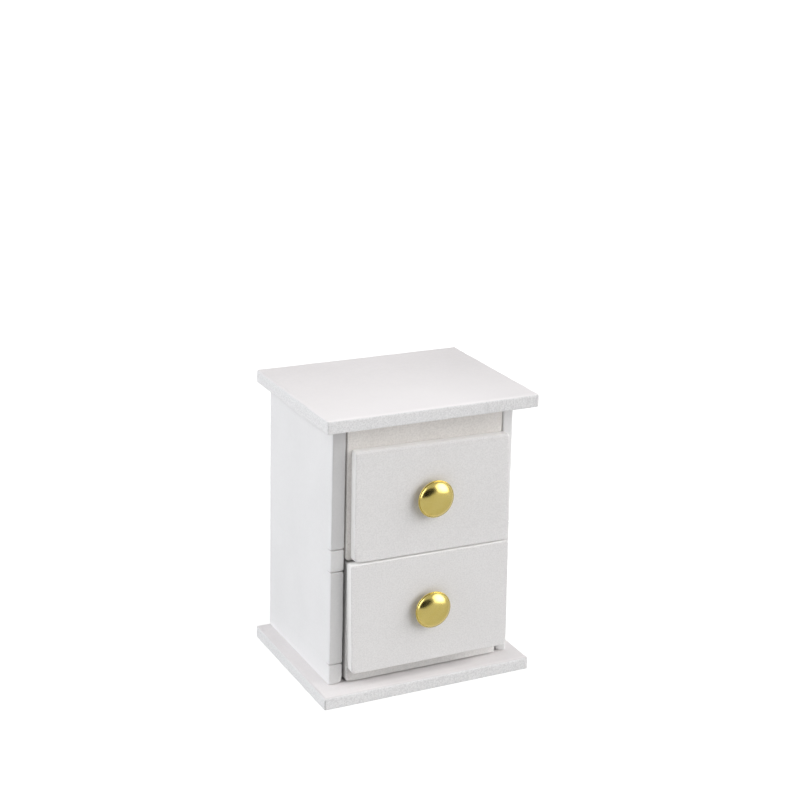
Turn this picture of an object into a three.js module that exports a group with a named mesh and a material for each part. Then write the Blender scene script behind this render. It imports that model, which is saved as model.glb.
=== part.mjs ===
// Miniature two-drawer bedside chest for a dolls house.
// Millimetres, +Z up. The origin is the centre of the underside of the base
// board; the drawers open towards -Y and +X is the right hand of a person
// looking at the drawers.
import * as THREE from "three";
import { RoundedBoxGeometry } from "three/addons/geometries/RoundedBoxGeometry.js";
import { mergeVertices } from "three/addons/utils/BufferGeometryUtils.js";

// ---- driving dimensions ----
const HEIGHT = 60.0;             // over the top board
const BASE_W = 46.15;            // base board, along X
const BASE_D = 36.15;            // base board, along Y
const BASE_T = 2.65;             // base board thickness
const TOP_W = 45.8;              // top board, along X
const TOP_D = 35.7;              // top board, along Y
const TOP_T = 2.7;               // top board thickness
const TOP_X = -0.175;            // middle of the top board from the base board's
const BOARD_R = 0.35;            // sanded edges of the two boards

// The carcass is glued up by hand: its left wall is upright, and its right
// wall leans out a little towards the base. X is from the carcass axis.
const CARCASS_X = -0.475;        // carcass axis from the middle of the base board
const FRONT_OVERHANG = 4.4;      // the top board stands out in front of the carcass
const LEFT_OUT = -19.58;         // left wall, outer face
const LEFT_IN = -16.72;          // left wall, inner face
const RIGHT_OUT_FOOT = 20.8;    // right wall, outer face at the base board
const RIGHT_OUT_HEAD = 19.92;    // right wall, outer face at the top board
const RIGHT_IN_FOOT = 18.85;     // right wall, inner face at the base board
const RIGHT_IN_HEAD = 17.7;      // right wall, inner face at the top board
const WALL_R = 0.3;              // sanded edges of the walls
const BOTTOM_T = 4.35;           // bottom board thickness
const DIVIDER_Z = 26.95;         // underside of the divider board
const DIVIDER_T = 4.65;          // divider board thickness
const SHELF_RECESS = 2.4;        // both set back behind the inner fronts
const SHELF_R = 0.25;            // sanded edges of bottom and divider boards
const BACK_T = 2.0;              // back panel thickness

const INNER_T = 2.0;             // inner front thickness
const INNER_R = 0.25;            // inner front edges
const FACE_T = 2.0;              // drawer face thickness
const FACE_R = 0.22;             // rounded edges of a drawer face
const BOX_X0 = -16.1;            // drawer box, left side from the carcass axis
const BOX_X1 = 17.0;             // drawer box, right side
const BOX_WALL_T = 1.8;          // drawer box wall thickness
const BOX_FLOOR_T = 1.5;         // drawer box floor thickness
const BOX_END_GAP = 0.7;         // drawer box to back panel, when closed
const BOX_LIFT = 0.35;           // running gap under a drawer box
const LOWER_OUT = 0.45;          // the lower drawer rests this far open

const KNOB_R = 3.9;              // knob radius over the rolled rim
const KNOB_H = 1.75;             // knob dome height, rim to crown
const KNOB_STANDOFF = 1.15;      // rim to drawer face
const PIN_R = 0.45;              // knob pin radius
const PIN_HOLE_R = 0.75;         // hole for the pin through face and inner front
const PIN_TIP = 1.6;             // pin end behind the inner front

// Each drawer front: x and z from the carcass axis and the underside of the
// base board. The faces are cut by hand, so none of their corners is square.
const UPPER = {
  inner: [-16.38, 17.5, 28.95, 56.8],                   // x0, x1, z0, z1
  face: [[-15.38, 29.08], [19.03, 28.76], [18.2, 51.56], [-15.55, 52.08]],
  knob: [1.4, 40.62],
  boxTop: 54.6,
};
const LOWER = {
  inner: [-16.1, 17.9, 2.85, 28.68],
  face: [[-15.8, 5.36], [19.42, 5.33], [18.87, 28.6], [-16.33, 28.82]],
  knob: [1.34, 17.05],
  boxTop: 24.6,
};

// ---- derived positions ----
const yBack = BASE_D / 2;                       // back of carcass and boards
const yFront = yBack - TOP_D + FRONT_OVERHANG;  // front of the carcass
const zTopUnder = HEIGHT - TOP_T;
const zDividerTop = DIVIDER_Z + DIVIDER_T;
const zBottomTop = BASE_T + BOTTOM_T;
const headToFoot = (head, foot, z) => foot + ((head - foot) * (z - BASE_T)) / (zTopUnder - BASE_T);
const rightOut = (z) => headToFoot(RIGHT_OUT_HEAD, RIGHT_OUT_FOOT, z);
const rightIn = (z) => headToFoot(RIGHT_IN_HEAD, RIGHT_IN_FOOT, z);

// ---- finishes ----
const paint = () => new THREE.MeshStandardMaterial({ color: 0xf0eeec, roughness: 0.62, metalness: 0 });
const facePaint = () => new THREE.MeshStandardMaterial({ color: 0xe9e6e3, roughness: 0.66, metalness: 0 });
const thinPaint = () => new THREE.MeshStandardMaterial({ color: 0xd9d5ce, roughness: 0.8, metalness: 0 });
const brass = () => new THREE.MeshStandardMaterial({ color: 0xd8b13a, roughness: 0.18, metalness: 1 });
const steel = () => new THREE.MeshStandardMaterial({ color: 0xa9aaac, roughness: 0.4, metalness: 1 });

const chest = new THREE.Group();
const carcass = new THREE.Group();
const upperDrawer = new THREE.Group();
const lowerDrawer = new THREE.Group();
carcass.position.x = CARCASS_X;
upperDrawer.position.x = CARCASS_X;
lowerDrawer.position.set(CARCASS_X, -LOWER_OUT, 0);
chest.add(carcass, upperDrawer, lowerDrawer);

// A closed mesh whose triangles share their corner points.
function welded(geometry) {
  geometry.deleteAttribute("normal");
  geometry.deleteAttribute("uv");
  const g = mergeVertices(geometry, 1e-5);
  g.computeVertexNormals();
  return g;
}

function addMesh(group, name, geometry, material) {
  const mesh = new THREE.Mesh(geometry, material);
  mesh.name = name;
  group.add(mesh);
  return mesh;
}

// A wide board with sanded edges; both end flush with the carcass at the back.
function wideBoard(name, width, depth, x, z0, z1) {
  const mesh = addMesh(chest, name,
    welded(new RoundedBoxGeometry(width, depth, z1 - z0, 3, BOARD_R)), paint());
  mesh.position.set(x, yBack - depth / 2, (z0 + z1) / 2);
  return mesh;
}

// A square-cut board between two corners.
function plainBoard(group, name, lo, hi, material) {
  const mesh = addMesh(group, name,
    new THREE.BoxGeometry(hi[0] - lo[0], hi[1] - lo[1], hi[2] - lo[2]), material);
  mesh.position.set((lo[0] + hi[0]) / 2, (lo[1] + hi[1]) / 2, (lo[2] + hi[2]) / 2);
  return mesh;
}

// A slab whose outline stands in the XZ plane, counterclockwise from the
// front, and which is thick along Y, with softened edges and, if asked, a
// round hole for the knob pin.
function slab(group, name, outline, y0, y1, radius, material, hole = null) {
  const shape = new THREE.Shape(outline.map(([x, z]) => new THREE.Vector2(x, z)));
  if (hole) {
    const path = new THREE.Path();
    path.absarc(hole[0], hole[1], PIN_HOLE_R, 0, Math.PI * 2, true);
    shape.holes.push(path);
  }
  const bevel = radius > 0
    ? { bevelEnabled: true, bevelThickness: radius, bevelSize: radius, bevelOffset: -radius, bevelSegments: 2 }
    : { bevelEnabled: false };
  const geometry = new THREE.ExtrudeGeometry(shape,
    { depth: y1 - y0 - 2 * radius, steps: 1, curveSegments: 16, ...bevel });
  geometry.translate(0, 0, radius);
  geometry.rotateX(Math.PI / 2);
  const mesh = addMesh(group, name, welded(geometry), material);
  mesh.position.y = y1;
  return mesh;
}

// ---- carcass ----
wideBoard("base_board", BASE_W, BASE_D, 0, 0, BASE_T);
wideBoard("top_board", TOP_W, TOP_D, TOP_X, zTopUnder, HEIGHT);

// Bottom and divider boards run right through under the walls. Between the
// walls they are set back at the front for the inner fronts of the drawers,
// and at the rear for the back panel. Their right ends follow the lean of the
// right wall.
function shelf(name, z, thickness) {
  const yf = yFront + SHELF_RECESS, yb = yBack - BACK_T;
  const IN = 100, OUT = 110;                    // stand-ins for the right wall's faces
  const outline = new THREE.Shape([
    [LEFT_OUT, yFront], [LEFT_IN, yFront], [LEFT_IN, yf], [IN, yf], [IN, yFront], [OUT, yFront],
    [OUT, yBack], [IN, yBack], [IN, yb], [LEFT_IN, yb], [LEFT_IN, yBack], [LEFT_OUT, yBack],
  ].map(([x, y]) => new THREE.Vector2(x, y)));
  const geometry = new THREE.ExtrudeGeometry(outline, {
    depth: thickness - 2 * SHELF_R, steps: 1, bevelEnabled: true,
    bevelThickness: SHELF_R, bevelSize: SHELF_R, bevelOffset: -SHELF_R, bevelSegments: 2,
  });
  geometry.translate(0, 0, z + SHELF_R);
  const p = geometry.attributes.position;
  for (let i = 0; i < p.count; i++) {
    const x = p.getX(i), zi = p.getZ(i);
    if (x > 105) p.setX(i, x - OUT + rightOut(zi));
    else if (x > 50) p.setX(i, x - IN + rightIn(zi));
  }
  addMesh(carcass, name, welded(geometry), paint());
}
shelf("bottom_board", BASE_T, BOTTOM_T);
shelf("divider_board", DIVIDER_Z, DIVIDER_T);

for (const [level, z0, z1] of [["lower", zBottomTop, DIVIDER_Z], ["upper", zDividerTop, zTopUnder]]) {
  slab(carcass, `left_side_${level}`, [[LEFT_OUT, z0], [LEFT_IN, z0], [LEFT_IN, z1], [LEFT_OUT, z1]],
    yFront, yBack, WALL_R, paint());
  slab(carcass, `right_side_${level}`,
    [[rightIn(z0), z0], [rightOut(z0), z0], [rightOut(z1), z1], [rightIn(z1), z1]],
    yFront, yBack, WALL_R, paint());
}
slab(carcass, "back_panel",
  [[LEFT_IN, BASE_T], [rightIn(BASE_T), BASE_T], [rightIn(zTopUnder), zTopUnder], [LEFT_IN, zTopUnder]],
  yBack - BACK_T, yBack, 0, paint());

// ---- drawers ----
// The knob: a thin domed brass head, hollow behind, with a rolled rim and a
// small boss that holds the pin. Its profile is turned about the pin.
function knobGeometry() {
  const R = KNOB_R, H = KNOB_H, rim = 0.34, skin = 0.35;
  const pts = [new THREE.Vector2(0, H)];
  for (let i = 1; i <= 10; i++) {                       // outer dome, crown to rim
    const a = (i / 10) * (Math.PI / 2);
    pts.push(new THREE.Vector2((R - rim) * Math.sin(a), rim + (H - rim) * Math.cos(a)));
  }
  for (let i = 1; i <= 5; i++) {                        // rolled rim, outside to underside
    const a = Math.PI / 2 - (i / 5) * Math.PI;
    pts.push(new THREE.Vector2(R - rim + rim * Math.cos(a), rim * 0.5 + rim * 0.5 * Math.sin(a)));
  }
  pts.push(new THREE.Vector2(R - 2.2 * rim, 0.12));
  for (let i = 1; i <= 5; i++) {                        // inside of the dome
    const a = Math.PI / 2 - (i / 5) * (Math.PI / 2) * 0.72;
    pts.push(new THREE.Vector2((R - 2.2 * rim) * Math.sin(a), 0.12 + (H - skin - 0.12) * Math.cos(a)));
  }
  pts.push(new THREE.Vector2(1.0, 0.55), new THREE.Vector2(1.0, 0.1), new THREE.Vector2(0, 0.1));
  return welded(new THREE.LatheGeometry(pts.reverse(), 32));
}

function drawer(group, prefix, o, boxZ0) {
  const [ix0, ix1, iz0, iz1] = o.inner;
  slab(group, `${prefix}_inner_front`, [[ix0, iz0], [ix1, iz0], [ix1, iz1], [ix0, iz1]],
    yFront, yFront + INNER_T, INNER_R, thinPaint(), o.knob);
  slab(group, `${prefix}_face`, o.face, yFront - FACE_T, yFront, FACE_R, facePaint(), o.knob);

  const y0 = yFront + INNER_T, y1 = yBack - BACK_T - BOX_END_GAP;
  const x0 = BOX_X0, x1 = BOX_X1, t = BOX_WALL_T, zw = boxZ0 + BOX_FLOOR_T;
  plainBoard(group, `${prefix}_floor`, [x0, y0, boxZ0], [x1, y1, zw], thinPaint());
  plainBoard(group, `${prefix}_left_wall`, [x0, y0, zw], [x0 + t, y1, o.boxTop], thinPaint());
  plainBoard(group, `${prefix}_right_wall`, [x1 - t, y0, zw], [x1, y1, o.boxTop], thinPaint());
  plainBoard(group, `${prefix}_rear_wall`, [x0 + t, y1 - t, zw], [x1 - t, y1, o.boxTop], thinPaint());

  const yRim = yFront - FACE_T - KNOB_STANDOFF;
  const knob = addMesh(group, `${prefix}_knob`, knobGeometry(), brass());
  knob.rotation.x = Math.PI;                            // crown towards -Y
  knob.position.set(o.knob[0], yRim, o.knob[1]);
  const yHead = yRim - 0.1, yTip = yFront + INNER_T + PIN_TIP;
  const pin = addMesh(group, `${prefix}_knob_pin`,
    welded(new THREE.CylinderGeometry(PIN_R, PIN_R, yTip - yHead, 12)), steel());
  pin.position.set(o.knob[0], (yTip + yHead) / 2, o.knob[1]);
}
drawer(upperDrawer, "upper", UPPER, zDividerTop + BOX_LIFT);
drawer(lowerDrawer, "lower", LOWER, zBottomTop + BOX_LIFT);

export default chest;
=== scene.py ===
import math

import bpy
import bmesh
from mathutils import Matrix, Vector, noise


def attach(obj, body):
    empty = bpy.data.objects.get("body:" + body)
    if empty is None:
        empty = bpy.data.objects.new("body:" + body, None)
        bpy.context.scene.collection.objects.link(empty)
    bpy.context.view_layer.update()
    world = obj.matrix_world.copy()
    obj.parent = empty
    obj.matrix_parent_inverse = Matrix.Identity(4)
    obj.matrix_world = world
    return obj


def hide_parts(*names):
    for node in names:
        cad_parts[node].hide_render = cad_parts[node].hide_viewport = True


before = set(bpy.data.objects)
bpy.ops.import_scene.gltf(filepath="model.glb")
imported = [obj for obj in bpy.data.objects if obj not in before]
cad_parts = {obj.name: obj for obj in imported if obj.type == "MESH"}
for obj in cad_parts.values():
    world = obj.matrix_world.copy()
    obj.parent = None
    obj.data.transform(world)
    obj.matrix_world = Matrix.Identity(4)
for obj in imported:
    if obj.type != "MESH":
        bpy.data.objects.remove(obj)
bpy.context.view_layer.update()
scene = bpy.context.scene
MM = 0.001

# ---------------------------------------------------------------- dimensions
# The same numbers as the CAD model, in millimetres. X is from the carcass axis.
CX = -0.475
BASE_W, BASE_D = 46.15, 36.15
TOP_W, TOP_D, TOP_X = 45.8, 35.7, -0.175
YB = BASE_D / 2               # back of carcass and boards
YF = YB - TOP_D + 4.4         # front of the carcass
BASE_T, TOP_U, HEIGHT = 2.65, 57.3, 60.0
BOT_TOP, DIV_Z, DIV_TOP = 7.0, 26.95, 31.6
LEFT_OUT, LEFT_IN = -19.58, -16.72
RECESS, BACK_T = 2.4, 2.0
LOWER_OUT = 0.45


def lean(foot, head, z):
    return foot + (head - foot) * (z - BASE_T) / (TOP_U - BASE_T)


def right_out(z):
    return lean(20.8, 19.92, z)


def right_in(z):
    return lean(18.85, 17.7, z)


# ---------------------------------------------------------------- camera
cam_data = bpy.data.cameras.new("camera")
cam_data.sensor_width = 36.0
cam_data.lens = 77.72
cam_data.clip_start = 0.01
cam = bpy.data.objects.new("camera", cam_data)
scene.collection.objects.link(cam)
right = Vector((0.8962048, -0.4428664, 0.0261956))
up = Vector((0.1150324, 0.2890007, 0.9503926))
back = Vector((-0.4284676, -0.8487331, 0.3099478))
rot = Matrix((right, up, back)).transposed().to_4x4()
cam.matrix_world = Matrix.Translation(Vector((-0.1484107, -0.2954728, 0.1639355))) @ rot
scene.camera = cam
scene.view_settings.view_transform = "Standard"
scene.view_settings.look = "None"


# ---------------------------------------------------------------- node helpers
class Nodes:
    def __init__(self, name):
        self.mat = bpy.data.materials.new(name)
        self.mat.use_nodes = True
        self.t = self.mat.node_tree
        self.t.nodes.clear()
        self.out = self.t.nodes.new("ShaderNodeOutputMaterial")

    def node(self, kind, **props):
        n = self.t.nodes.new(kind)
        for k, v in props.items():
            setattr(n, k, v)
        return n

    def link(self, a, b):
        self.t.links.new(a, b)

    def value(self, v):
        n = self.node("ShaderNodeValue")
        n.outputs[0].default_value = v
        return n.outputs[0]

    def math(self, op, a, b=None, c=None, clamp=False):
        n = self.node("ShaderNodeMath", operation=op)
        n.use_clamp = clamp
        for i, v in enumerate((a, b, c)):
            if v is None:
                continue
            if isinstance(v, (int, float)):
                n.inputs[i].default_value = v
            else:
                self.link(v, n.inputs[i])
        return n.outputs[0]

    def coords(self, sx=1000.0, sy=1000.0, sz=1000.0):
        """Object coordinates, in millimetres unless other scales are asked."""
        tc = self.node("ShaderNodeTexCoord")
        mp = self.node("ShaderNodeMapping")
        mp.inputs["Scale"].default_value = (sx, sy, sz)
        self.link(tc.outputs["Object"], mp.inputs["Vector"])
        return mp.outputs["Vector"]

    def noise(self, vec, scale, detail=2.0, rough=0.5, distort=0.0):
        n = self.node("ShaderNodeTexNoise")
        self.link(vec, n.inputs["Vector"])
        n.inputs["Scale"].default_value = scale
        n.inputs["Detail"].default_value = detail
        n.inputs["Roughness"].default_value = rough
        n.inputs["Distortion"].default_value = distort
        return n.outputs["Fac"]

    def remap(self, v, a, b, c=0.0, d=1.0, smooth=False):
        n = self.node("ShaderNodeMapRange")
        if smooth:
            n.interpolation_type = "SMOOTHSTEP"
        self.link(v, n.inputs["Value"])
        for k, x in zip(("From Min", "From Max", "To Min", "To Max"), (a, b, c, d)):
            n.inputs[k].default_value = x
        return n.outputs["Result"]

    def mix(self, fac, a, b, kind="MIX"):
        n = self.node("ShaderNodeMix", data_type="RGBA", blend_type=kind)
        n.clamp_factor = True
        for sock, v in ((n.inputs[0], fac), (n.inputs[6], a), (n.inputs[7], b)):
            if isinstance(v, (int, float)):
                sock.default_value = v
            elif isinstance(v, tuple):
                sock.default_value = (*v, 1.0)
            else:
                self.link(v, sock)
        return n.outputs[2]

    def times(self, col, fac):
        g = self.node("ShaderNodeCombineColor")
        for i in range(3):
            self.link(fac, g.inputs[i])
        return self.mix(1.0, col, g.outputs[0], "MULTIPLY")

    def bump(self, height, strength, distance_mm, normal=None):
        n = self.node("ShaderNodeBump")
        n.inputs["Strength"].default_value = strength
        n.inputs["Distance"].default_value = distance_mm * MM
        self.link(height, n.inputs["Height"])
        if normal is not None:
            self.link(normal, n.inputs["Normal"])
        return n.outputs["Normal"]

    def normal_axis(self, axis):
        g = self.node("ShaderNodeNewGeometry")
        s = self.node("ShaderNodeSeparateXYZ")
        self.link(g.outputs["Normal"], s.inputs[0])
        return self.math("ABSOLUTE", s.outputs["XYZ".index(axis)])

    def surface(self, **inputs):
        p = self.node("ShaderNodeBsdfPrincipled")
        for k, v in inputs.items():
            k = k.replace("_", " ")
            if isinstance(v, (int, float)):
                p.inputs[k].default_value = v
            elif isinstance(v, tuple):
                p.inputs[k].default_value = (*v, 1.0) if len(v) == 3 else v
            else:
                self.link(v, p.inputs[k])
        self.link(p.outputs[0], self.out.inputs["Surface"])
        return p


# ---------------------------------------------------------------- materials
def painted(name, base, edge, grain=0.5, speck=0.35, mottle=0.02, rough=0.5, edge_axis=None,
            streak=0.0, peel=0.35, peel_scale=2.2, edge_mottle=0.02, fibres_and_painted_light=False, edge_grain=0.0, cloud=0.0, lit_end=False):
    """Sprayed white paint on thin board. edge_axis names the broad faces' axis;
    the other faces are the cut edges, where the board shows through the coat; where the edge colour is lighter than the
    face, as on the drawer faces, it is painted light."""
    n = Nodes(name)
    v = n.coords()
    big = n.noise(v, 0.11, 3.0)
    mid = n.noise(v, 0.9, 3.0, 0.6)
    fine = n.noise(v, peel_scale, 2.0, 0.55)
    tiny = n.noise(v, 7.0, 1.0)
    col = n.mix(n.remap(big, 0.3, 0.7), tuple(c * (1 - mottle) for c in base), tuple(min(1, c * (1 + mottle * 0.6)) for c in base))
    # a faint grain in the coat, darker in its dimples
    dim = n.remap(fine, 0.35, 0.65, 1.0 - 0.05 * grain, 1.0)
    g = n.node("ShaderNodeCombineColor")
    for i in range(3):
        n.link(dim, g.inputs[i])
    col = n.mix(1.0, col, g.outputs[0], "MULTIPLY")
    if cloud:
        # soft unevenness of the coat, about a millimetre across
        col = n.times(col, n.remap(n.noise(v, 0.75, 3.0, 0.65), 0.34, 0.66, 1.0 - cloud, 1.0))
    if lit_end:
        # painted light and shade: the colour is painted darker towards the left end and lighter towards the right end
        lx = n.node("ShaderNodeSeparateXYZ")
        n.link(v, lx.inputs[0])
        col = n.times(col, n.remap(lx.outputs["X"], 2.0, 16.0, 0.89, 1.16, smooth=True))
    # tiny grey specks and pinholes
    pin = n.noise(v, 3.1, 0.0)
    spot = n.remap(pin, 0.80, 0.86, 0.0, 0.5 * speck)
    col = n.mix(spot, col, tuple(c * 0.62 for c in base))
    height = n.math("ADD", n.math("MULTIPLY", fine, 0.7), n.math("MULTIPLY", tiny, 0.3))
    normal = n.bump(height, peel, 0.03)
    rgh = n.remap(mid, 0.3, 0.7, rough - 0.06, rough + 0.08)
    if edge_axis:
        broad = n.normal_axis(edge_axis)
        cut = n.remap(broad, 0.35, 0.75, 1.0, 0.0, smooth=True)
        # the rougher coat on the cut edges
        blotch = n.noise(v, 1.9, 3.0, 0.6)
        ecol = n.mix(n.remap(blotch, 0.32, 0.68), tuple(c * (1 - 2 * edge_mottle) for c in edge), edge)
        if edge_grain:
            nib = n.noise(v, 3.3, 2.0, 0.6)
            ecol = n.mix(n.remap(nib, 0.51, 0.63, 0.0, edge_grain), ecol, (0.95, 0.95, 0.95))
            ecol = n.mix(n.remap(nib, 0.48, 0.36, 0.0, edge_grain), ecol, tuple(c * 0.80 for c in edge))
        if fibres_and_painted_light:
            # short fibre marks across the thickness, at one end of the top board
            squeeze = {"X": (160, 1000, 1000), "Y": (1000, 160, 1000), "Z": (1000, 1000, 160)}[edge_axis]
            marks = n.noise(n.coords(*squeeze), 2.6, 4.0, 0.65)
            sep = n.node("ShaderNodeSeparateXYZ")
            n.link(v, sep.inputs[0])
            where = n.math("MULTIPLY", n.remap(sep.outputs["X"], 2.0, 15.0, 0.0, 1.0, smooth=True),
                           n.remap(sep.outputs["Z"], 28.0, 32.0, 0.0, 1.0))
            amount = n.math("MULTIPLY", n.remap(marks, 0.46, 0.72, 0.0, 1.0), where)
            ecol = n.mix(n.math("MULTIPLY", amount, streak), ecol, tuple(c * 0.66 for c in edge))
        if fibres_and_painted_light:
            # painted light: the boards' top faces are painted whiter towards the front, fully on the top board and at
            # 0.3 strength on the base board
            sp = n.node("ShaderNodeSeparateXYZ")
            n.link(v, sp.inputs[0])
            shade = n.math("MULTIPLY", n.remap(sp.outputs["Y"], -18.0, 14.0, 1.0, 0.0, smooth=True),
                           n.remap(sp.outputs["Z"], 28.0, 32.0, 0.3, 1.0))
            col = n.mix(n.math("MULTIPLY", shade, 0.62), col, (0.93, 0.905, 0.908))
            # painted light and shade: the top board is painted lighter at the front left and darker at the back right
            painted_top_light = n.math("MULTIPLY", n.remap(sp.outputs["Y"], -18.0, 14.0, 1.055, 0.955),
                          n.remap(sp.outputs["X"], 0.0, 22.0, 1.0, 0.925, smooth=True))
            high = n.remap(sp.outputs["Z"], 28.0, 32.0, 0.0, 1.0)
            painted_top_light = n.math("ADD", n.math("MULTIPLY", n.math("SUBTRACT", painted_top_light, 1.0), high), 1.0)
            col = n.times(col, painted_top_light)
            # painted shade: the base board is painted darker in the corner under the lower drawer
            thin = n.math("MULTIPLY", n.remap(sp.outputs["Y"], -16.6, -14.8, 0.0, 0.17, smooth=True),
                          n.math("MULTIPLY", n.remap(sp.outputs["X"], -18.0, -11.0, 0.25, 1.0, smooth=True),
                                 n.remap(sp.outputs["X"], 8.0, 14.0, 1.0, 0.0, smooth=True)))
            low = n.math("SUBTRACT", 1.0, high)
            thin = n.math("MULTIPLY", thin, n.math("MULTIPLY", low, n.remap(sp.outputs["Y"], -13.0, -12.0, 1.0, 0.0)))
            # and painted shade along its front arris, dulling the arris's highlight
            arris = n.math("MULTIPLY", n.remap(broad, 0.35, 0.60, 0.0, 1.0), n.remap(broad, 0.90, 0.99, 1.0, 0.0))
            arris = n.math("MULTIPLY", n.math("MULTIPLY", arris, low), 0.12)
            col = n.times(col, n.math("SUBTRACT", 1.0, n.math("ADD", thin, arris)))
            # a crack in the paint down the front left corner of the base board
            dx = n.math("ABSOLUTE", n.math("ADD", sp.outputs["X"], BASE_W / 2))
            dy = n.math("ABSOLUTE", n.math("ADD", sp.outputs["Y"], BASE_D / 2))
            line = n.math("MULTIPLY", n.remap(n.math("ADD", dx, dy), 0.12, 0.34, 1.0, 0.0),
                          n.remap(sp.outputs["Z"], 1.8, 2.2, 1.0, 0.0))
            broken = n.remap(n.noise(v, 1.3, 2.0), 0.40, 0.55, 0.25, 0.8)
            ecol = n.mix(n.math("MULTIPLY", line, broken), ecol, (0.30, 0.29, 0.28))
        col = n.mix(cut, col, ecol)
        normal = n.bump(n.math("MULTIPLY", blotch, cut), min(1.0, 8 * edge_mottle), 0.05, normal)
        rgh = n.math("ADD", rgh, n.math("MULTIPLY", cut, 0.1))
    n.surface(Base_Color=col, Roughness=rgh, Normal=normal, Specular_IOR_Level=0.4)
    return n.mat


WHITE = (0.878, 0.850, 0.852)
mat_board = painted("white_board_paint", WHITE, (0.848, 0.846, 0.85), edge_axis="Z", streak=0.6, rough=0.5, peel=0.18,
                    grain=0.4, edge_mottle=0.03, fibres_and_painted_light=True, edge_grain=0.55, cloud=0.022)
mat_wall = painted("wall_paint", (0.872, 0.872, 0.877), (0.752, 0.748, 0.745), edge_axis="X", rough=0.52, peel=0.12, grain=0.35, cloud=0.012)
# painted shade: a copy of the wall paint with darker edges, used on the upper left wall
mat_wall_shaded_edge = painted("wall_paint_upper_painted_shade", (0.872, 0.872, 0.877), (0.66, 0.656, 0.656), edge_axis="X", rough=0.52, peel=0.12, grain=0.35, cloud=0.012)
# painted light: a copy of the wall paint with lighter edges, used on the upper right wall
mat_wall_lit_edge = painted("wall_paint_right_painted_light", (0.872, 0.872, 0.877), (0.86, 0.856, 0.856), edge_axis="X", rough=0.52, peel=0.12, grain=0.35, cloud=0.012)
mat_shelf = painted("shelf_paint", (0.82, 0.82, 0.822), (0.80, 0.80, 0.805), rough=0.55, peel=0.2)
# painted light: the drawer faces' edges are coloured lighter than the faces
mat_face = painted("drawer_face_paint", (0.876, 0.866, 0.862), (0.95, 0.945, 0.935), edge_axis="Y",
                   rough=0.48, peel=0.8, peel_scale=3.5, grain=2.0, speck=0.2, mottle=0.01)
mat_thin = painted("thin_sprayed_board", (0.90, 0.872, 0.838), (0.84, 0.82, 0.79), rough=0.75, peel=0.8, peel_scale=2.9,
                   grain=2.2, speck=0.8, mottle=0.04)
# painted shade: a darker, more neutral copy of the thin board paint for the lower inner front, with painted light
# towards its right end
mat_thin_low_painted_shading = painted("thin_sprayed_board_lower_painted_shading", (0.81, 0.80, 0.785), (0.78, 0.77, 0.755), rough=0.75, peel=0.8, peel_scale=2.9,
                       grain=2.2, speck=0.8, mottle=0.04, lit_end=True)


def brass_material():
    n = Nodes("knob_brass")
    v = n.coords()
    cloud = n.noise(v, 0.7, 3.0)
    fine = n.noise(v, 5.0, 2.0)
    col = n.mix(n.remap(cloud, 0.3, 0.7), (0.84, 0.67, 0.20), (0.88, 0.72, 0.24))
    r = n.remap(cloud, 0.3, 0.7, 0.18, 0.25)
    normal = n.bump(fine, 0.08, 0.02)
    n.surface(Base_Color=col, Metallic=1.0, Roughness=r, Normal=normal)
    return n.mat


def steel_material():
    n = Nodes("pin_steel")
    v = n.coords(1000, 60, 1000)
    line = n.noise(v, 6.0, 3.0)
    col = n.mix(n.remap(line, 0.3, 0.7), (0.5, 0.5, 0.5), (0.68, 0.68, 0.68))
    n.surface(Base_Color=col, Metallic=1.0, Roughness=0.35, Normal=n.bump(line, 0.2, 0.01))
    return n.mat


mat_brass = brass_material()
mat_steel = steel_material()


# ---------------------------------------------------------------- mesh helpers
def new_object(name, verts, faces, material):
    me = bpy.data.meshes.new(name)
    me.from_pydata([tuple(c * MM for c in v) for v in verts], [], faces)
    me.validate()
    me.materials.append(material)
    for p in me.polygons:
        p.use_smooth = True
    o = bpy.data.objects.new(name, me)
    scene.collection.objects.link(o)
    return o


def even_normals(o):
    w = o.modifiers.new("even", "WEIGHTED_NORMAL")
    w.mode = "FACE_AREA"
    w.weight = 50
    w.keep_sharp = True


def axis_points(length, zone, step, m):
    n = max(1, math.ceil((length - 2 * zone) / step))
    near = [zone * (k / m) ** 1.6 for k in range(m)]
    pts = [-length / 2 + d for d in near]
    pts += [-length / 2 + zone + (length - 2 * zone) * k / n for k in range(n + 1)]
    pts += [length / 2 - d for d in reversed(near)]
    return pts


def rnd(p, f, seed=0.0):
    return noise.noise(Vector((p[0] * f + seed, p[1] * f - seed * 0.7, p[2] * f + seed * 1.3)))


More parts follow.
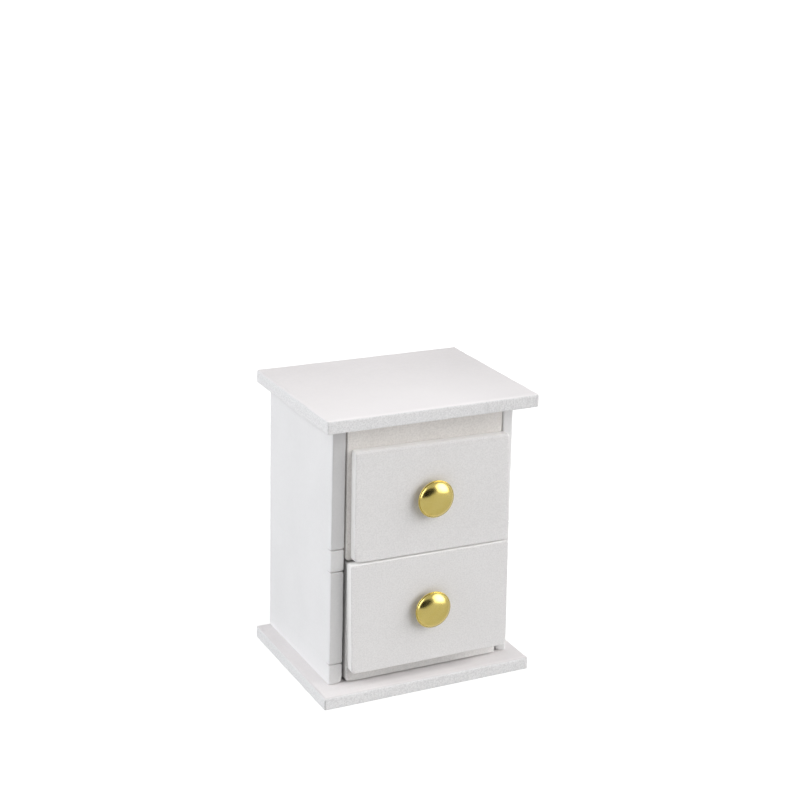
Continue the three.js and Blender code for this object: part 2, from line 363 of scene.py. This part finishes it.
def block_data(size, place, radius=0.3, radii=None, step=1.2, m=4, uneven=0.25, wobble=0.006, seed=0.0, zone=None):
    """A board with softly sanded edges. place() carries a point of the box to
    millimetres in the row frame; the surface only ever moves inwards."""
    zone = zone or radius * 1.6
    axes = [axis_points(s, min(zone, s * 0.45), step, m) for s in size]
    n = [len(a) for a in axes]
    index, verts = {}, []

    def vert(i, j, k):
        key = (i, j, k)
        if key in index:
            return index[key]
        p = (axes[0][i], axes[1][j], axes[2][k])
        if radii:
            r = radii(p)
        else:
            w = place(p)
            rr = radius * (1 + uneven * (rnd(w, 0.45, seed) + 0.5 * rnd(w, 1.5, seed + 9)))
            r = (rr, rr, rr)
        q, d = [], []
        for a in range(3):
            half = size[a] / 2
            ra = max(0.004, min(r[a], zone, half * 0.9))
            core = max(-(half - ra), min(half - ra, p[a]))
            d.append((p[a] - core) / ra)
            q.append((core, ra))
        nn = Vector(d).normalized()
        local = [c + nn[a] * ra for a, (c, ra) in enumerate(q)]
        w = Vector(place(local))
        w -= nn * (wobble * (0.5 + 0.5 * rnd(w, 0.16, seed)))
        index[key] = len(verts)
        verts.append(w)
        return index[key]

    faces = []
    X, Y, Z = n[0] - 1, n[1] - 1, n[2] - 1
    for i in range(X):
        for j in range(Y):
            faces.append((vert(i, j, 0), vert(i, j + 1, 0), vert(i + 1, j + 1, 0), vert(i + 1, j, 0)))
            faces.append((vert(i, j, Z), vert(i + 1, j, Z), vert(i + 1, j + 1, Z), vert(i, j + 1, Z)))
    for i in range(X):
        for k in range(Z):
            faces.append((vert(i, 0, k), vert(i + 1, 0, k), vert(i + 1, 0, k + 1), vert(i, 0, k + 1)))
            faces.append((vert(i, Y, k), vert(i, Y, k + 1), vert(i + 1, Y, k + 1), vert(i + 1, Y, k)))
    for j in range(Y):
        for k in range(Z):
            faces.append((vert(0, j, k), vert(0, j, k + 1), vert(0, j + 1, k + 1), vert(0, j + 1, k)))
            faces.append((vert(X, j, k), vert(X, j + 1, k), vert(X, j + 1, k + 1), vert(X, j, k + 1)))
    return verts, faces


def apply_boolean(o, other, op):
    b = o.modifiers.new("bool", "BOOLEAN")
    b.operation = op
    b.solver = "EXACT"
    b.material_mode = "TRANSFER"
    b.object = other
    dg = bpy.context.evaluated_depsgraph_get()
    me = bpy.data.meshes.new_from_object(o.evaluated_get(dg))
    o.modifiers.clear()
    old = o.data
    o.data = me
    bpy.data.meshes.remove(old)
    data = other.data
    bpy.data.objects.remove(other)
    bpy.data.meshes.remove(data)
    for p in o.data.polygons:
        p.use_smooth = True


def finish_piece(o, body, node):
    even_normals(o)
    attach(o, body)
    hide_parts(node)
    return o


def box_place(lo, hi):
    c = [(a + b) / 2 for a, b in zip(lo, hi)]
    return lambda p: (p[0] + c[0] + CX, p[1] + c[1], p[2] + c[2])


def board(name, body, node, slot, lo, hi, material, **kw):
    size = [b - a for a, b in zip(lo, hi)]
    v, f = block_data(size, box_place(lo, hi), **kw)
    return finish_piece(new_object(name, v, f, material), body, node)


# ---------------------------------------------------------------- wide boards
def wide_board(name, node, width, depth, x, z0, z1, seed):
    size = (width, depth, z1 - z0)
    c = (x, YB - depth / 2, (z0 + z1) / 2)
    corner = Vector((size[0] / 2, size[1] / 2))

    def place(p):
        return (p[0] + c[0], p[1] + c[1], p[2] + c[2])

    def radii(p):
        w = place(p)
        r = 0.5 * (1 + 0.28 * rnd(w, 0.35, seed) + 0.2 * rnd(w, 1.3, seed + 5))
        if p[2] < 0:
            r = 0.14 * (1 + 0.4 * rnd(w, 0.6, seed))
        # the upright corners keep one radius from top to bottom
        near = (Vector((abs(p[0]), abs(p[1]))) - corner).length
        k = min(1.0, max(0.0, 1.35 - near / 2.2))
        k = k * k * (3 - 2 * k)
        rxy = r + (0.34 - r) * k
        return (rxy, rxy, r)

    v, f = block_data(size, place, radius=0.6, radii=radii, step=0.9, m=6, wobble=0.008, seed=seed, zone=0.85)
    return finish_piece(new_object(name, v, f, mat_board), "carcass", node)


wide_board("base_board_painted", "base_board", BASE_W, BASE_D, 0.0, 0.0, BASE_T, 3.0)
wide_board("top_board_painted", "top_board", TOP_W, TOP_D, TOP_X, TOP_U, HEIGHT, 11.0)


# ---------------------------------------------------------------- side walls
def seam_radii(size, front_r=0.3, seam_front=0.2, seam_r=0.02, fade=1.6, zone=0.48, seed=0.0):
    """Joints between stacked pieces are open hairlines on the front edge and
    run out under the paint a little way round the corner."""
    def radii(p):
        y = p[1] + size[1] / 2
        t = min(1.0, max(0.0, y / fade))
        t = t * t * (3 - 2 * t)
        s = seam_front + (seam_r - seam_front) * t
        if size[1] - y < zone:
            s = front_r
        ze = min(1.0, max(0.0, (abs(p[2]) - (size[2] / 2 - zone)) / zone))
        jit = 1 + 0.25 * noise.noise(Vector((p[0] * 0.3, p[1] * 0.5 + seed, p[2] * 0.5)))
        rx = front_r * jit * (1 - ze) + s * ze
        return (rx, front_r * jit, max(s if y < size[1] - zone else seam_r, 0.01))
    return radii


def open_seam(p, size, inner, low, high, seed):
    """How far a stacked piece stops short of its neighbours at the front: a
    hairline, with a small notch at the inner arris. inner is the side's sign."""
    end = high if p[2] > 0 else low
    y = min(1.0, max(0.0, (p[1] + size[1] / 2) / 1.5))
    near = min(1.0, max(0.0, 1 - (size[2] / 2 - abs(p[2])) / 0.5))
    if not end or near == 0.0 or y == 1.0:
        return 0.0
    d = size[0] / 2 - inner * p[0]
    gap = 0.07 * (1 + 0.7 * rnd((p[0], p[1], seed), 1.1)) + 0.30 * max(0.0, 1 - d / 0.55) ** 2
    return -math.copysign(gap * near * (1 - y * y * (3 - 2 * y)), p[2])


def foot_radii(radii, size, inner, reach=0.95):
    """The inner bottom arris of the foot is rounded away at the front."""
    def more(p):
        r = radii(p)
        if p[2] > 0:
            return r
        rim = 0.26 * (1 + 0.4 * rnd(p, 0.5, size[0]))
        r = (r[0], r[1], max(r[2], rim))
        if inner * p[0] < 0:
            return r
        y = min(1.0, (p[1] + size[1] / 2) / 1.6)
        near = math.hypot(size[0] / 2 - abs(p[0]), size[2] / 2 - abs(p[2]))
        k = min(1.0, max(0.0, 1.6 - near / 1.4)) * (1 - y * y * (3 - 2 * y))
        return (r[0] + (reach - r[0]) * k, r[1], r[2] + (reach - r[2]) * k)
    return more


def wall(name, node, side, z0, z1, seed):
    h = z1 - z0
    inner = 1 if side == "left" else -1
    if side == "left":
        def xs(z):
            return LEFT_OUT, LEFT_IN
    else:
        def xs(z):
            return right_in(z), right_out(z)
    zm = (z0 + z1) / 2
    a0, a1 = xs(zm)
    size = (a1 - a0, YB - YF, h)

    def place(p):
        z = p[2] + zm
        b0, b1 = xs(z)
        u = (p[0] + size[0] / 2) / size[0]
        z += open_seam(p, size, inner, True, z1 < TOP_U, seed)
        return (b0 + (b1 - b0) * u + CX, p[1] + (YF + YB) / 2, z)

    v, f = block_data(size, place, radii=seam_radii(size, seed=seed), step=1.3, m=4, wobble=0.006, seed=0.0, zone=0.48)
    # the upper left wall's edges take painted shade, the upper right wall's painted light
    material = mat_wall_shaded_edge if z0 == DIV_TOP else mat_wall
    if side == "right" and z0 == DIV_TOP:
        material = mat_wall_lit_edge
    return finish_piece(new_object(name, v, f, material), "carcass", node)


wall("left_side_lower_painted", "left_side_lower", "left", BOT_TOP, DIV_Z, 1.0)
wall("left_side_upper_painted", "left_side_upper", "left", DIV_TOP, TOP_U, 2.0)
wall("right_side_lower_painted", "right_side_lower", "right", BOT_TOP, DIV_Z, 3.0)
wall("right_side_upper_painted", "right_side_upper", "right", DIV_TOP, TOP_U, 4.0)


# ---------------------------------------------------------------- shelves
def shelf(name, node, z0, z1, seed):
    zm = (z0 + z1) / 2
    parts = []
    for side in ("left", "right"):
        a0, a1 = (LEFT_OUT, LEFT_IN) if side == "left" else (right_in(zm), right_out(zm))
        size = (a1 - a0, YB - YF, z1 - z0)
        inner = 1 if side == "left" else -1

        def place(p, side=side, size=size, inner=inner):
            z = p[2] + zm
            b0, b1 = (LEFT_OUT, LEFT_IN) if side == "left" else (right_in(z), right_out(z))
            u = (p[0] + size[0] / 2) / size[0]
            z += open_seam(p, size, inner, z0 > BASE_T, True, seed)
            return (b0 + (b1 - b0) * u + CX, p[1] + (YF + YB) / 2, z)

        radii, zone, m = seam_radii(size, seed=seed), 0.48, 4
        if z0 == BASE_T:
            radii, zone, m = foot_radii(radii, size, inner), 1.0, 8
        v, f = block_data(size, place, radii=radii, step=1.3, m=m, wobble=0.006, seed=0.0, zone=zone)
        parts.append(new_object(f"{name}_{side}_end", v, f, mat_wall))
    lo = (LEFT_IN - 0.9, YF + RECESS, z0 + 0.012)
    hi = (right_in(zm) + 0.9, YB - BACK_T, z1 - 0.012)
    size = [b - a for a, b in zip(lo, hi)]
    v, f = block_data(size, box_place(lo, hi), radius=0.22, step=1.6, m=3, wobble=0.004, seed=seed)
    o = new_object(name, v, f, mat_shelf)
    for part in parts:
        apply_boolean(o, part, "UNION")
    if mat_wall.name not in o.data.materials:
        o.data.materials.append(mat_wall)
    return finish_piece(o, "carcass", node)


shelf("bottom_board_painted", "bottom_board", BASE_T, BOT_TOP, 21.0)
shelf("divider_board_painted", "divider_board", DIV_Z, DIV_TOP, 25.0)


def back_panel():
    zm = (BASE_T + TOP_U) / 2
    w = right_in(zm) - LEFT_IN
    size = (w, BACK_T, TOP_U - BASE_T)

    def place(p):
        z = p[2] + zm
        u = (p[0] + w / 2) / w
        return (LEFT_IN + (right_in(z) - LEFT_IN) * u + CX, p[1] + YB - BACK_T / 2, z)

    v, f = block_data(size, place, radius=0.12, step=1.8, m=3, wobble=0.02, seed=31.0)
    return finish_piece(new_object("back_panel_painted", v, f, mat_shelf), "carcass", "back_panel")


back_panel()


# ---------------------------------------------------------------- drawers
def lathe(name, profile, centre, material, segments=96):
    """Turns (radius, forward) pairs about the Y axis, forward being -Y. The
    profile starts and ends on the axis."""
    verts, rings = [], []
    for r, h in profile:
        if r < 1e-6:
            rings.append([len(verts)])
            verts.append((centre[0], centre[1] - h, centre[2]))
        else:
            ring = []
            for s in range(segments):
                a = 2 * math.pi * s / segments
                ring.append(len(verts))
                verts.append((centre[0] + r * math.cos(a), centre[1] - h, centre[2] + r * math.sin(a)))
            rings.append(ring)
    faces = []
    for a, b in zip(rings, rings[1:]):
        for s in range(segments):
            t = (s + 1) % segments
            if len(a) == 1:
                faces.append((a[0], b[t], b[s]))
            elif len(b) == 1:
                faces.append((a[s], a[t], b[0]))
            else:
                faces.append((a[s], a[t], b[t], b[s]))
    o = new_object(name, verts, faces, material)
    bm = bmesh.new()
    bm.from_mesh(o.data)
    bmesh.ops.recalc_face_normals(bm, faces=bm.faces)
    bm.to_mesh(o.data)
    bm.free()
    for p in o.data.polygons:
        p.use_smooth = True
    return o


def knob_profile():
    R, H, rim, skin = 3.9, 1.75, 0.20, 0.3
    Rd = R - rim * 0.9
    pts = [(0.0, H)]
    N = 44
    for i in range(1, N + 1):                      # dome: gentle crown, round shoulder
        t = i / N
        r = Rd * math.sin(t * math.pi / 2) ** 0.9
        h = rim * 1.1 + (H - rim * 1.1) * (1 - (r / Rd) ** 2.5) ** 0.62
        pts.append((r, h))
    for i in range(1, 13):                         # rolled rim
        a = math.pi * 0.42 - (i / 12) * math.pi * 1.25
        pts.append((R - rim + rim * math.cos(a), rim + rim * math.sin(a)))
    pts.append((R - 2.4 * rim, 0.16))
    for i in range(1, 9):                          # inside of the dome
        r = (R - 2.4 * rim) * (1 - i / 8) + 1.0 * (i / 8)
        h = (H - skin) * (1 - (r / (R - rim)) ** 2.5) ** 0.6
        pts.append((r, max(0.2, h)))
    pts += [(1.0, 0.12), (0.9, 0.1), (0.0, 0.1)]
    return pts


def cutter(x, z, y0, y1, r):
    verts, faces, n = [], [], 32
    for y in (y0, y1):
        for s in range(n):
            a = 2 * math.pi * s / n
            verts.append((x + r * math.cos(a), y, z + r * math.sin(a)))
    for s in range(n):
        t = (s + 1) % n
        faces.append((s, t, n + t, n + s))
    faces.append(tuple(range(n - 1, -1, -1)))
    faces.append(tuple(range(n, 2 * n)))
    o = new_object("cutter", verts, faces, mat_thin)
    bm = bmesh.new()
    bm.from_mesh(o.data)
    bmesh.ops.recalc_face_normals(bm, faces=bm.faces)
    bm.to_mesh(o.data)
    bm.free()
    return o


def face_board(name, body, node, corners, y0, y1, hole, seed, top_r):
    """corners: bottom left, bottom right, top right, top left, as (x, z)."""
    bl, br, tr, tl = [Vector(c) for c in corners]
    w = ((br - bl).length + (tr - tl).length) / 2
    h = ((tl - bl).length + (tr - br).length) / 2
    size = (w, y1 - y0, h)

    def place(p):
        u, v = (p[0] + w / 2) / w, (p[2] + h / 2) / h
        q = (bl * (1 - u) + br * u) * (1 - v) + (tl * (1 - u) + tr * u) * v
        return (q[0] + CX, p[1] + (y0 + y1) / 2, q[1])

    def radii(p):
        w_ = place(p)
        j = 1 + 0.3 * rnd(w_, 0.4, seed) + 0.2 * rnd(w_, 1.6, seed + 3)
        r = 0.14 * j
        # sanded most along the top, then down the left
        top = min(1.0, max(0.0, 1.6 - 2 * (size[2] / 2 - p[2])))
        left = min(1.0, max(0.0, 1.6 - 2 * (size[0] / 2 + p[0])))
        front = max(r, top_r * j * top, 0.30 * j * left)
        near = math.hypot(abs(p[0]) - size[0] / 2, abs(p[2]) - size[2] / 2)
        k = min(1.0, max(0.0, 1.5 - near / 1.8))
        k = k * k * (3 - 2 * k)
        # the bottom left corner is the roundest
        rc = 0.95 if p[0] < 0 and p[2] < 0 else 0.5
        if p[1] > 0:
            front = r
        rx = max(r, 0.30 * j * left) if p[1] <= 0 else r
        rz = max(r, top_r * j * top) if p[1] <= 0 else r
        return (rx + (rc - rx) * k, front, rz + (rc - rz) * k)

    v, f = block_data(size, place, radii=radii, step=1.0, m=8, wobble=0.006, seed=seed, zone=1.05)
    o = new_object(name, v, f, mat_face)
    apply_boolean(o, cutter(hole[0] + CX, hole[1], y0 - 1, y1 + 1, 0.5), "DIFFERENCE")
    return finish_piece(o, body, node)


def drawer(prefix, body, out, inner, face, knob, box_z, box_top):
    yf = YF - out
    x0, x1, z0, z1 = inner
    size = (x1 - x0, 2.0, z1 - z0)

    def radii(p):
        r = 0.18 * (1 + 0.4 * rnd(p, 0.5, 41.0 + out) + 0.2 * rnd(p, 1.7, 44.0))
        if p[0] > 0 or p[2] > 0:
            return (r, r, r)
        near = math.hypot(p[0] + size[0] / 2, p[2] + size[2] / 2)
        rr = r + (0.9 - r) * min(1.0, max(0.0, 1.5 - near / 1.7))
        return (rr, r, rr)

    v, f = block_data(size, box_place((x0, yf, z0), (x1, yf + 2.0, z1)), radii=radii, step=1.2, m=8,
                      wobble=0.012, seed=41.0 + out, zone=1.0)
    # the lower inner front takes the copy with painted shade
    o = new_object(f"{prefix}_inner_front_painted", v, f, mat_thin if out == 0.0 else mat_thin_low_painted_shading)
    apply_boolean(o, cutter(knob[0] + CX, knob[1], yf - 1, yf + 3, 0.5), "DIFFERENCE")
    finish_piece(o, body, f"{prefix}_inner_front")
    face_board(f"{prefix}_face_painted", body, f"{prefix}_face", face, yf - 2.0, yf, knob, 51.0 + out, 0.5 if out == 0.0 else 0.12)

    yb = YB - BACK_T - 0.7 - out
    y0 = yf + 2.0
    bx0, bx1, t, zw = -16.1, 17.0, 1.8, box_z + 1.5
    kw = dict(radius=0.16, step=2.0, m=3, wobble=0.01, uneven=0.4)
    s = "thin_sprayed_board"
    board(f"{prefix}_floor_painted", body, f"{prefix}_floor", s, (bx0, y0, box_z), (bx1, yb, zw), mat_thin, seed=61.0, **kw)
    board(f"{prefix}_left_wall_painted", body, f"{prefix}_left_wall", s, (bx0, y0, zw), (bx0 + t, yb, box_top), mat_thin, seed=62.0, **kw)
    board(f"{prefix}_right_wall_painted", body, f"{prefix}_right_wall", s, (bx1 - t, y0, zw), (bx1, yb, box_top), mat_thin, seed=63.0, **kw)
    board(f"{prefix}_rear_wall_painted", body, f"{prefix}_rear_wall", s, (bx0 + t, yb - t, zw), (bx1 - t, yb, box_top), mat_thin, seed=64.0, **kw)

    y_rim = yf - 2.0 - 1.15
    k = lathe(f"{prefix}_knob_polished", knob_profile(), (knob[0] + CX, y_rim, knob[1]), mat_brass)
    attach(k, body)
    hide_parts(f"{prefix}_knob")
    tip = yf + 2.0 + 1.6
    length = tip - (y_rim - 0.1)
    prof = [(0.0, 0.1), (0.44, 0.1), (0.44, 0.1 - length + 0.8), (0.40, 0.1 - length + 0.62), (0.05, 0.1 - length + 0.03), (0.0, 0.1 - length)]
    pin = lathe(f"{prefix}_pin_wire", prof, (knob[0] + CX, y_rim, knob[1]), mat_steel, 24)
    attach(pin, body)
    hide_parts(f"{prefix}_knob_pin")


drawer("upper", "upper_drawer", 0.0, (-16.38, 17.5, 28.95, 56.8),
       [(-15.38, 29.08), (19.03, 28.76), (18.2, 51.56), (-15.55, 52.08)], (1.4, 40.62), DIV_TOP + 0.35, 54.6)
drawer("lower", "lower_drawer", LOWER_OUT, (-16.1, 17.9, 2.85, 28.68),
       [(-15.8, 5.36), (19.42, 5.33), (18.87, 28.6), (-16.33, 28.82)], (1.34, 17.05), BOT_TOP + 0.35, 24.6)


# ---------------------------------------------------------------- stage
def floor():
    """A pale sheet. Seen directly it is blown out to white, as a lit sheet is,
    and it throws a softer light back up at the object."""
    n = Nodes("studio_floor")
    v = n.coords(1, 1, 1)
    cloud = n.noise(v, 2.0, 2.0)
    d1 = n.node("ShaderNodeBsdfDiffuse")
    n.link(n.mix(cloud, (0.61, 0.61, 0.61), (0.59, 0.59, 0.59)), d1.inputs["Color"])
    d2 = n.node("ShaderNodeBsdfDiffuse")
    n.link(n.mix(cloud, (0.30, 0.30, 0.30), (0.31, 0.31, 0.31)), d2.inputs["Color"])
    e = n.node("ShaderNodeEmission")
    e.inputs["Color"].default_value = (1, 1, 1, 1)
    e.inputs["Strength"].default_value = 0.84
    add = n.node("ShaderNodeAddShader")
    n.link(d2.outputs[0], add.inputs[0])
    n.link(e.outputs[0], add.inputs[1])
    lp = n.node("ShaderNodeLightPath")
    mix = n.node("ShaderNodeMixShader")
    n.link(lp.outputs["Is Camera Ray"], mix.inputs[0])
    n.link(d1.outputs[0], mix.inputs[1])
    n.link(add.outputs[0], mix.inputs[2])
    n.link(mix.outputs[0], n.out.inputs["Surface"])
    bm = bmesh.new()
    bmesh.ops.create_grid(bm, x_segments=4, y_segments=4, size=6.0)
    me = bpy.data.meshes.new("studio_floor")
    bm.to_mesh(me)
    bm.free()
    me.materials.append(n.mat)
    o = bpy.data.objects.new("studio_floor", me)
    scene.collection.objects.link(o)
    o.location.z = -0.00002


floor()


def studio_light():
    """A light tent: a soft box in front on the right, another behind on the left,
    and the wide dark opening that the object is seen through."""
    world = bpy.data.worlds.new("studio")
    scene.world = world
    world.use_nodes = True
    t = world.node_tree
    t.nodes.clear()
    out = t.nodes.new("ShaderNodeOutputWorld")
    tc = t.nodes.new("ShaderNodeTexCoord")
    norm = t.nodes.new("ShaderNodeVectorMath")
    norm.operation = "NORMALIZE"
    t.links.new(tc.outputs["Generated"], norm.inputs[0])

    def lobe(direction, half, soft):
        dot = t.nodes.new("ShaderNodeVectorMath")
        dot.operation = "DOT_PRODUCT"
        t.links.new(norm.outputs[0], dot.inputs[0])
        dot.inputs[1].default_value = Vector(direction).normalized()
        mr = t.nodes.new("ShaderNodeMapRange")
        mr.interpolation_type = "SMOOTHSTEP"
        t.links.new(dot.outputs["Value"], mr.inputs["Value"])
        mr.inputs["From Min"].default_value = math.cos(math.radians(half + soft))
        mr.inputs["From Max"].default_value = math.cos(math.radians(half - soft))
        return mr.outputs["Result"]

    def scaled(fac, color):
        m = t.nodes.new("ShaderNodeVectorMath")
        m.operation = "SCALE"
        m.inputs[0].default_value = color
        t.links.new(fac, m.inputs["Scale"])
        return m.outputs[0]

    def plus(a, b):
        m = t.nodes.new("ShaderNodeVectorMath")
        m.operation = "ADD"
        for i, v in enumerate((a, b)):
            if isinstance(v, tuple):
                m.inputs[i].default_value = v
            else:
                t.links.new(v, m.inputs[i])
        return m.outputs[0]

    light = AMBIENT
    for direction, half, soft, color in SOFTBOXES:
        light = plus(light, scaled(lobe(direction, half, soft), color))
    for direction, half, soft in OPENINGS:
        m = t.nodes.new("ShaderNodeMath")
        m.operation = "MULTIPLY_ADD"
        t.links.new(lobe(direction, half, soft), m.inputs[0])
        m.inputs[1].default_value = -0.93
        m.inputs[2].default_value = 1.0
        dim = t.nodes.new("ShaderNodeVectorMath")
        dim.operation = "SCALE"
        t.links.new(light, dim.inputs[0])
        t.links.new(m.outputs[0], dim.inputs["Scale"])
        light = dim.outputs[0]

    tent = t.nodes.new("ShaderNodeBackground")
    t.links.new(light, tent.inputs["Color"])
    plain = t.nodes.new("ShaderNodeBackground")
    plain.inputs["Color"].default_value = (1, 1, 1, 1)
    lp = t.nodes.new("ShaderNodeLightPath")
    mix = t.nodes.new("ShaderNodeMixShader")
    t.links.new(lp.outputs["Is Camera Ray"], mix.inputs[0])
    t.links.new(tent.outputs[0], mix.inputs[1])
    t.links.new(plain.outputs[0], mix.inputs[2])
    t.links.new(mix.outputs[0], out.inputs["Surface"])


AMBIENT = (0.51, 0.51, 0.51)
SOFTBOXES = [
    ((0.676, -0.568, 0.469), 24, 11, (3.00, 2.97, 2.95)),
    ((0.70, -0.70, 0.10), 20, 12, (0.55, 0.54, 0.54)),
    ((-0.885, 0.06, 0.44), 26, 9, (2.75, 2.77, 2.83)),
]
OPENINGS = [
    ((-0.736, -0.618, 0.276), 24, 6),
    ((-0.352, -0.871, 0.342), 24, 6),
    ((0.032, -0.927, 0.375), 14, 7),
]
studio_light()

# ---------------------------------------------------------------- end
bpy.context.view_layer.update()
